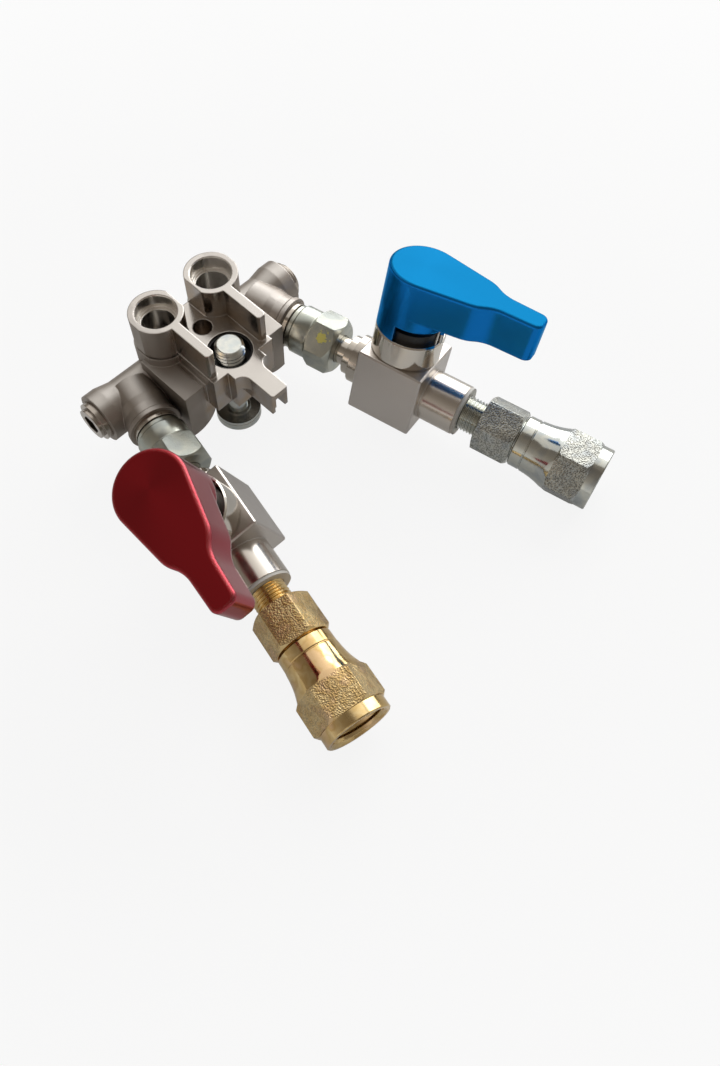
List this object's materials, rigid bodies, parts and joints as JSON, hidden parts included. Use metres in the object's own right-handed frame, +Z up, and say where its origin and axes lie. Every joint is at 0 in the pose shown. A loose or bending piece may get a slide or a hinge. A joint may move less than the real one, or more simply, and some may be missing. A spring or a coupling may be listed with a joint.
{
  "type": "fluid manifold with ball valves",
  "caption": "Ported block with closed arms, ribs and a captive bolt, feeding splayed lines with union nuts, lever ball valves and threaded swivel hose nuts.",
  "frame": {"origin": "centre of the locating hole's mouth in the deck", "axes": "+Z up along the ports and the fastening bolt, -Y towards the hose ends, +X to the blue side"},
  "size_m": [0.1105, 0.1175, 0.0523],
  "materials": {
    "nickel_plated": "satin nickel plate on a forging, machined faces brighter",
    "polished_nickel": "turned and plated bright",
    "zinc_plated": "clear zinc plate on steel",
    "yellow_zinc": "yellow chromate on zinc plate",
    "blue_anodised": "blue anodised aluminium",
    "red_anodised": "red anodised aluminium",
    "black_plastic": "black moulded plastic",
    "white_plastic": "white fluoropolymer",
    "black_rubber": "moulded rubber",
    "stainless": "polished stainless steel",
    "screen_mesh": "fine woven stainless mesh"
  },
  "bodies": {
    "manifold": {"manifold_block": "nickel_plated", "bolt_retainer": "black_rubber", "filter_plug_blue": "nickel_plated", "plug_oring_blue": "black_rubber", "filter_screen_blue": "screen_mesh", "line_stub_blue": "zinc_plated", "stub_oring_blue": "black_rubber", "union_nut_blue": "zinc_plated", "valve_tail_blue": "nickel_plated", "valve_body_blue": "nickel_plated", "inlet_seat_blue": "white_plastic", "outlet_seat_blue": "white_plastic", "stem_bonnet_blue": "polished_nickel", "stem_ring_blue": "black_plastic", "stop_pins_blue": "stainless", "outlet_seal_blue": "white_plastic", "hose_adapter_blue": "zinc_plated", "nut_wire_blue": "stainless", "filter_plug_red": "nickel_plated", "plug_oring_red": "black_rubber", "filter_screen_red": "screen_mesh", "line_stub_red": "zinc_plated", "stub_oring_red": "black_rubber", "union_nut_red": "zinc_plated", "valve_tail_red": "nickel_plated", "valve_body_red": "nickel_plated", "inlet_seat_red": "white_plastic", "outlet_seat_red": "white_plastic", "stem_bonnet_red": "polished_nickel", "stem_ring_red": "black_plastic", "stop_pins_red": "stainless", "outlet_seal_red": "white_plastic", "hose_adapter_red": "yellow_zinc", "nut_wire_red": "stainless"},
    "bolt_slide_washer": {"bolt_washer": "zinc_plated"},
    "fastening_bolt": {"mount_bolt": "zinc_plated"},
    "lever_blue": {"handle_blue": "blue_anodised", "handle_screw_blue": "zinc_plated", "valve_stem_blue": "stainless", "stem_oring_blue": "black_rubber", "valve_ball_blue": "stainless"},
    "swivel_nut_blue": {"hose_nut_blue": "zinc_plated"},
    "lever_red": {"handle_red": "red_anodised", "handle_screw_red": "zinc_plated", "valve_stem_red": "stainless", "stem_oring_red": "black_rubber", "valve_ball_red": "stainless"},
    "swivel_nut_red": {"hose_nut_red": "yellow_zinc"}
  },
  "joints": [
    {"name": "bolt_lift", "type": "slide", "parent": "manifold", "child": "bolt_slide_washer", "axis": [0, 0, 1], "range_m": [0, 0.0125]},
    {"name": "bolt_turn", "type": "hinge", "parent": "bolt_slide_washer", "child": "fastening_bolt", "pos_m": [0, -0.0106, 0], "axis": [0, 0, 1], "continuous": true},
    {"name": "handle_turn_blue", "type": "hinge", "parent": "manifold", "child": "lever_blue", "pos_m": [0.03264, -0.04177, -0.0135], "axis": [0.2445, 0.0538, 0.9681], "range_deg": [0, 90]},
    {"name": "hose_nut_spin_blue", "type": "hinge", "parent": "manifold", "child": "swivel_nut_blue", "pos_m": [0.04191, -0.08396, -0.0135], "axis": [0.2147, -0.9767, 0], "continuous": true},
    {"name": "handle_turn_red", "type": "hinge", "parent": "manifold", "child": "lever_red", "pos_m": [-0.03264, -0.04177, -0.0135], "axis": [-0.3894, 0.0856, 0.9171], "range_deg": [-90, 0]},
    {"name": "hose_nut_spin_red", "type": "hinge", "parent": "manifold", "child": "swivel_nut_red", "pos_m": [-0.04191, -0.08396, -0.0135], "axis": [-0.2147, -0.9767, 0], "continuous": true}
  ]
}
